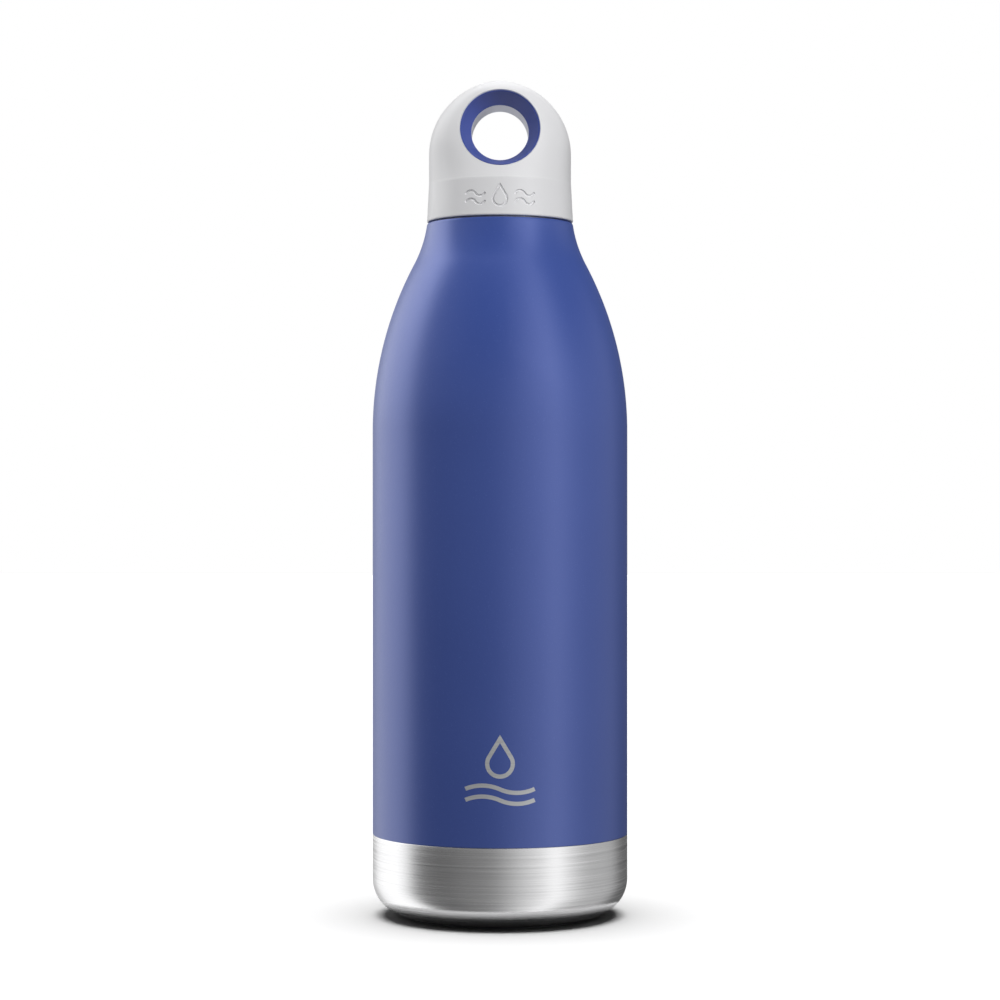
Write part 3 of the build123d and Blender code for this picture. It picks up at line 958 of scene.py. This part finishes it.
def world():
    """Soft white studio: walls of varying brightness and a bright ceiling panel."""
    scene = bpy.context.scene
    scene.world = bpy.data.worlds.new("studio")
    scene.world.use_nodes = True
    tree = scene.world.node_tree
    nodes, links = tree.nodes, tree.links
    out = nodes["World Output"]
    studio = nodes["Background"]

    def math_node(operation, *values):
        """Math node on numbers and other nodes' outputs."""
        node = nodes.new("ShaderNodeMath")
        node.operation = operation
        for socket, value in zip(node.inputs, values):
            if isinstance(value, (int, float)):
                socket.default_value = value
            else:
                links.new(value, socket)
        return node.outputs[0]

    def fade(value, low, high, to_low, to_high):
        """Smooth change from to_low to to_high as the value goes from low to high."""
        node = nodes.new("ShaderNodeMapRange")
        node.interpolation_type = "SMOOTHSTEP"
        for name, number in (("From Min", low), ("From Max", high), ("To Min", to_low),
                             ("To Max", to_high)):
            node.inputs[name].default_value = number
        links.new(value, node.inputs["Value"])
        return node.outputs["Result"]

    direction = nodes.new("ShaderNodeTexCoord").outputs["Generated"]
    split = nodes.new("ShaderNodeSeparateXYZ")
    links.new(direction, split.inputs[0])
    east, north, up = split.outputs
    angle = math_node("ARCTAN2", east, math_node("MULTIPLY", north, -1.0))
    turn = math_node("ADD", math_node("DIVIDE", angle, 2 * math.pi), 0.5)
    ramp = nodes.new("ShaderNodeValToRGB")
    ramp.color_ramp.interpolation = "EASE"
    stops = ramp.color_ramp.elements
    while len(stops) < len(WALLS):
        stops.new(0.5)
    top = max(value for _, value in WALLS)
    for stop, (degrees, value) in zip(stops, WALLS):
        stop.position = degrees / 360 + 0.5
        stop.color = (value / top, value / top, value / top, 1.0)
    links.new(turn, ramp.inputs["Fac"])
    walls = math_node("MULTIPLY", ramp.outputs["Color"], top)
    tall_panel = math_node("MULTIPLY", fade(east, *LEFT_PANEL_EAST, LEFT_PANEL_GAIN, 0.0),
                           fade(up, *LEFT_PANEL_UP, 0.0, 1.0))
    walls = math_node("MULTIPLY", walls, math_node("ADD", 1.0, tall_panel))
    upper = math_node("MULTIPLY", math_node("POWER", walls, HIGH_CONTRAST), HIGH_LEVEL)
    change = math_node("MULTIPLY", math_node("SUBTRACT", upper, walls), fade(up, *HIGH_UP, 0.0, 1.0))
    walls = math_node("ADD", walls, change)
    rays = nodes.new("ShaderNodeLightPath")
    shade = math_node("MULTIPLY", rays.outputs["Is Diffuse Ray"],
                      fade(east, *RIGHT_EAST, WALL_SHADE, RIGHT_SHADE))
    walls = math_node("MULTIPLY", walls, math_node("SUBTRACT", 1.0, shade))
    ceiling_start, ceiling_whole = (math.sin(math.radians(rise)) for rise in CEILING_DEG)
    ceiling = fade(up, ceiling_start, ceiling_whole, 0.0, OVERHEAD)
    links.new(math_node("ADD", walls, ceiling), studio.inputs["Strength"])
    studio.inputs["Color"].default_value = WHITE_LIGHT
    paper = nodes.new("ShaderNodeBackground")
    paper.inputs["Color"].default_value = WHITE_LIGHT
    mix = nodes.new("ShaderNodeMixShader")
    links.new(rays.outputs["Is Camera Ray"], mix.inputs[0])
    links.new(studio.outputs[0], mix.inputs[1])
    links.new(paper.outputs[0], mix.inputs[2])
    links.new(mix.outputs[0], out.inputs["Surface"])
    scene.view_settings.view_transform = "Standard"


ground = floor()
camera()
for name, turn_deg, rise_deg, power in SOFT_BOXES:
    soft_box(name, turn_deg, rise_deg, power, ground)
ground_light(ground)
world()
